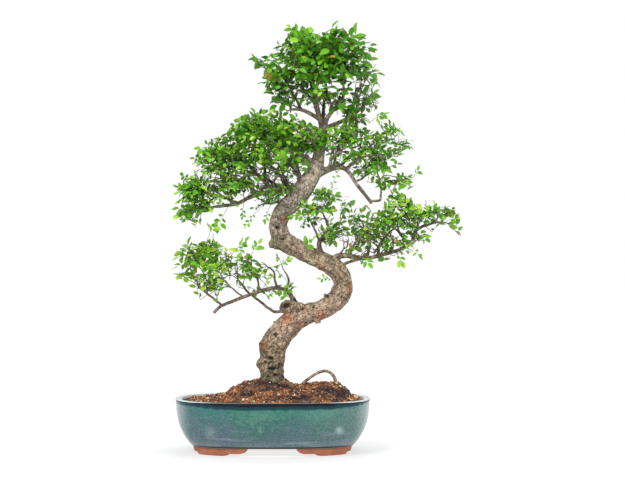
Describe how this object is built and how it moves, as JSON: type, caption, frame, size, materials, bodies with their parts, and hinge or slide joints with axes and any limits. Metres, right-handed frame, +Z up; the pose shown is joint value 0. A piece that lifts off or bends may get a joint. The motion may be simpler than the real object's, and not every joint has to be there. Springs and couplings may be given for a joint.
{
  "type": "japanese zelkova bonsai",
  "caption": "Bonsai tree with an S-curved trunk and leafy pads, rooted in a soil mound in an oval glazed pot on corner feet.",
  "frame": {"origin": "on the ground, below the middle of the whole outline in plan; the pot's middle is 82 mm to its left", "axes": "+X to the right along the pot's length as seen from the front, +Y from the front to the back, +Z up"},
  "size_m": [0.598, 0.28, 0.8765],
  "materials": {
    "glazed_clay": "gloss",
    "screen_plastic": "matte",
    "soil_granules": "matte",
    "bark": "matte",
    "leaf": "satin"
  },
  "bodies": {
    "root": {"drain_screen_left": "screen_plastic", "drain_screen_right": "screen_plastic", "pot": "glazed_clay", "soil": "soil_granules", "spray_crown_01": "leaf", "spray_crown_02": "leaf", "spray_crown_03": "leaf", "spray_crown_04": "leaf", "spray_crown_05": "leaf", "spray_crown_06": "leaf", "spray_crown_07": "leaf", "spray_crown_08": "leaf", "spray_crown_09": "leaf", "spray_crown_10": "leaf", "spray_crown_11": "leaf", "spray_crown_12": "leaf", "spray_crown_13": "leaf", "spray_high_left_01": "leaf", "spray_high_left_02": "leaf", "spray_high_left_03": "leaf", "spray_high_left_04": "leaf", "spray_high_left_05": "leaf", "spray_high_left_06": "leaf", "spray_high_left_07": "leaf", "spray_high_left_08": "leaf", "spray_high_left_09": "leaf", "spray_high_left_10": "leaf", "spray_high_left_11": "leaf", "spray_high_left_12": "leaf", "spray_high_right_01": "leaf", "spray_high_right_02": "leaf", "spray_high_right_03": "leaf", "spray_high_right_04": "leaf", "spray_high_right_05": "leaf", "spray_high_right_06": "leaf", "spray_high_right_07": "leaf", "spray_low_left_01": "leaf", "spray_low_left_02": "leaf", "spray_low_left_03": "leaf", "spray_low_left_04": "leaf", "spray_low_left_05": "leaf", "spray_low_left_06": "leaf", "spray_low_left_07": "leaf", "spray_low_left_08": "leaf", "spray_mid_right_01": "leaf", "spray_mid_right_02": "leaf", "spray_mid_right_03": "leaf", "spray_mid_right_04": "leaf", "spray_mid_right_05": "leaf", "spray_mid_right_06": "leaf", "spray_mid_right_07": "leaf", "spray_mid_right_08": "leaf", "spray_mid_right_09": "leaf", "sprig_trunk_1": "leaf", "sprig_trunk_2": "leaf", "sprig_trunk_3": "leaf", "tree": "bark"}
  },
  "joints": []
}
